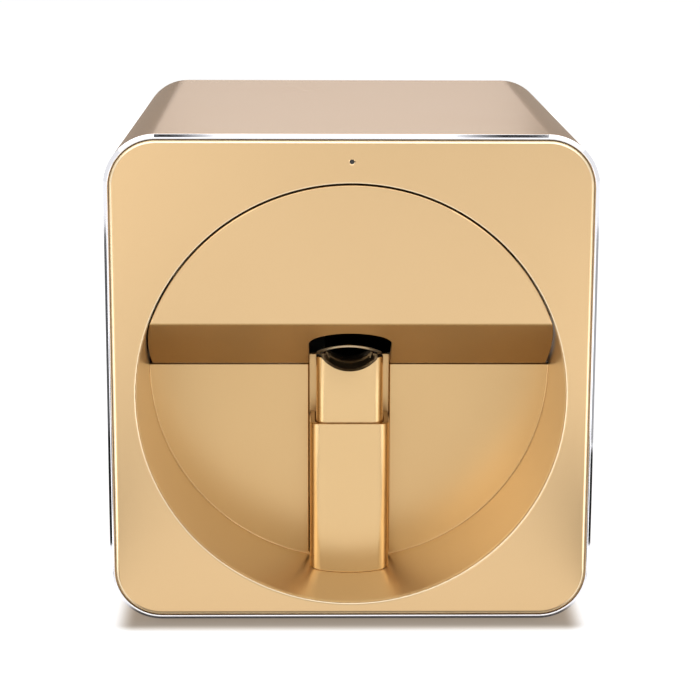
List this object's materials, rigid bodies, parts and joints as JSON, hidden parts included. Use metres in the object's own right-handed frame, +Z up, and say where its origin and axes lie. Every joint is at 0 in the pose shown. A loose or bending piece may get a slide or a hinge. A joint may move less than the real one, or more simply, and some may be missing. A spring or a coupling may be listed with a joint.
{
  "type": "digital nail art printer",
  "caption": "Desktop printer that inks a design on a fingernail: round hand recess, slanted pull-off cover and sprung finger rest in a gold face with a bright trim.",
  "frame": {"origin": "on the floor under the middle of the body", "axes": "+X to the right seen from the front, +Y from the front face to the back, +Z up"},
  "size_m": [0.205, 0.2414, 0.211],
  "materials": {
    "champagne_sleeve": "champagne anodised, fine grain",
    "gold_face": "satin gold metallic lacquer over moulded plastic",
    "gold_inner": "satin gold metallic lacquer over moulded plastic",
    "gold_rest": "smooth gold metallic lacquer over moulded plastic",
    "chrome_trim": "polished",
    "black_plastic": "fine moulded grain",
    "dark_plastic": "fine moulded grain",
    "sheet_metal": "zinc plated",
    "cast_frame": "machined",
    "steel_rod": "ground",
    "steel_screw": "plated",
    "magnet": "nickel plated",
    "bronze": "sintered",
    "black_rubber": "matt",
    "circuit_board": "solder mask",
    "motor_can": "black",
    "light_panel": "white",
    "ribbon": "flat flex",
    "felt": "felt",
    "latch_blue": "moulded",
    "film": "translucent film",
    "dark_light": "smoked"
  },
  "bodies": {
    "case": {"outer_sleeve": "champagne_sleeve", "front_trim": "chrome_trim", "front_bezel": "gold_face", "hand_bowl": "gold_inner", "rest_column": "gold_rest", "rest_spring": "steel_screw", "rest_stop_screw": "steel_screw", "nail_guide": "gold_inner", "bowl_magnets": "magnet", "indicator_light": "dark_light", "indicator_board": "circuit_board", "feet": "black_rubber", "base_chassis": "sheet_metal", "chassis_screws": "steel_screw", "side_frame_left": "sheet_metal", "side_frame_right": "sheet_metal", "rails": "steel_rod", "rail_blocks": "black_plastic", "screw_bearing_block": "black_plastic", "y_motor": "motor_can", "y_motor_bracket": "sheet_metal", "capping_station": "black_plastic", "cap_seal": "black_rubber", "wiper_blade": "black_rubber", "waste_ink_pad": "felt", "nail_camera": "black_plastic", "camera_bracket": "sheet_metal", "light_board": "light_panel", "camera_ribbon": "ribbon", "main_board": "circuit_board", "radio_module": "steel_screw", "leads": "black_rubber", "rear_cover": "dark_plastic", "rear_cover_screws": "steel_screw", "power_inlet": "black_plastic", "data_port": "steel_screw", "switch_body": "black_plastic", "fan_frame": "black_plastic"},
    "front_cover": {"front_cover": "gold_face", "cover_magnets": "magnet"},
    "finger_rest": {"finger_rest": "gold_rest"},
    "gantry": {"gantry_frame": "cast_frame", "gantry_bushings": "bronze", "cross_rods": "steel_rod", "lead_nut": "bronze", "x_motor": "steel_screw", "idler_pin": "steel_rod", "drive_belt": "black_rubber", "encoder_strip": "film"},
    "lead_screw": {"lead_screw": "steel_rod"},
    "motor_pulley": {"motor_pulley": "cast_frame"},
    "idler_pulley": {"idler_pulley": "cast_frame"},
    "carriage": {"carriage_body": "black_plastic", "carriage_bushings": "bronze", "latch_pin": "steel_rod"},
    "cartridge": {"ink_cartridge": "dark_plastic", "nozzle_plate": "bronze"},
    "latch": {"cartridge_latch": "latch_blue"},
    "power_button": {"power_button": "dark_plastic"},
    "fan_rotor": {"fan_rotor": "black_plastic"}
  },
  "joints": [
    {"name": "cover_pull", "type": "slide", "parent": "case", "child": "front_cover", "axis": [0, -1, 0], "range_m": [0, 0.1]},
    {"name": "rest_press", "type": "slide", "parent": "case", "child": "finger_rest", "axis": [0, 0, -1], "range_m": [0, 0.014], "stiffness_N_per_m": 150, "springref_m": -0.012, "deforming": ["rest_spring"]},
    {"name": "gantry_slide", "type": "slide", "parent": "case", "child": "gantry", "axis": [0, -1, 0], "range_m": [0, 0.023]},
    {"name": "lead_screw_spin", "type": "hinge", "parent": "case", "child": "lead_screw", "pos_m": [-0.06, 0.01, 0.156], "axis": [0, 1, 0], "range_deg": [0, 2100]},
    {"name": "carriage_slide", "type": "slide", "parent": "gantry", "child": "carriage", "axis": [-1, 0, 0], "range_m": [-0.044, 0.025]},
    {"name": "motor_pulley_spin", "type": "hinge", "parent": "gantry", "child": "motor_pulley", "pos_m": [0.06, 0.035, 0.155], "axis": [0, -1, 0], "range_deg": [-400, 230]},
    {"name": "idler_pulley_spin", "type": "hinge", "parent": "gantry", "child": "idler_pulley", "pos_m": [-0.042, 0.035, 0.155], "axis": [0, -1, 0], "range_deg": [-400, 230]},
    {"name": "cartridge_pull", "type": "slide", "parent": "carriage", "child": "cartridge", "axis": [0, -1, 0], "range_m": [0, 0.035]},
    {"name": "latch_hinge", "type": "hinge", "parent": "carriage", "child": "latch", "pos_m": [0, 0.012, 0.183], "axis": [-1, 0, 0], "range_deg": [0, 35]},
    {"name": "button_press", "type": "slide", "parent": "case", "child": "power_button", "axis": [0, -1, 0], "range_m": [0, 0.002], "stiffness_N_per_m": 600, "springref_m": -0.001},
    {"name": "fan_spin", "type": "hinge", "parent": "case", "child": "fan_rotor", "pos_m": [0.048, 0.11, 0.15], "axis": [0, 1, 0], "continuous": true}
  ],
  "couplings": [
    {"joint": "lead_screw_spin", "follows": "gantry_slide", "rad_per_m": 1570.8},
    {"joint": "motor_pulley_spin", "follows": "carriage_slide", "rad_per_m": 157.48},
    {"joint": "idler_pulley_spin", "follows": "carriage_slide", "rad_per_m": 157.48}
  ]
}
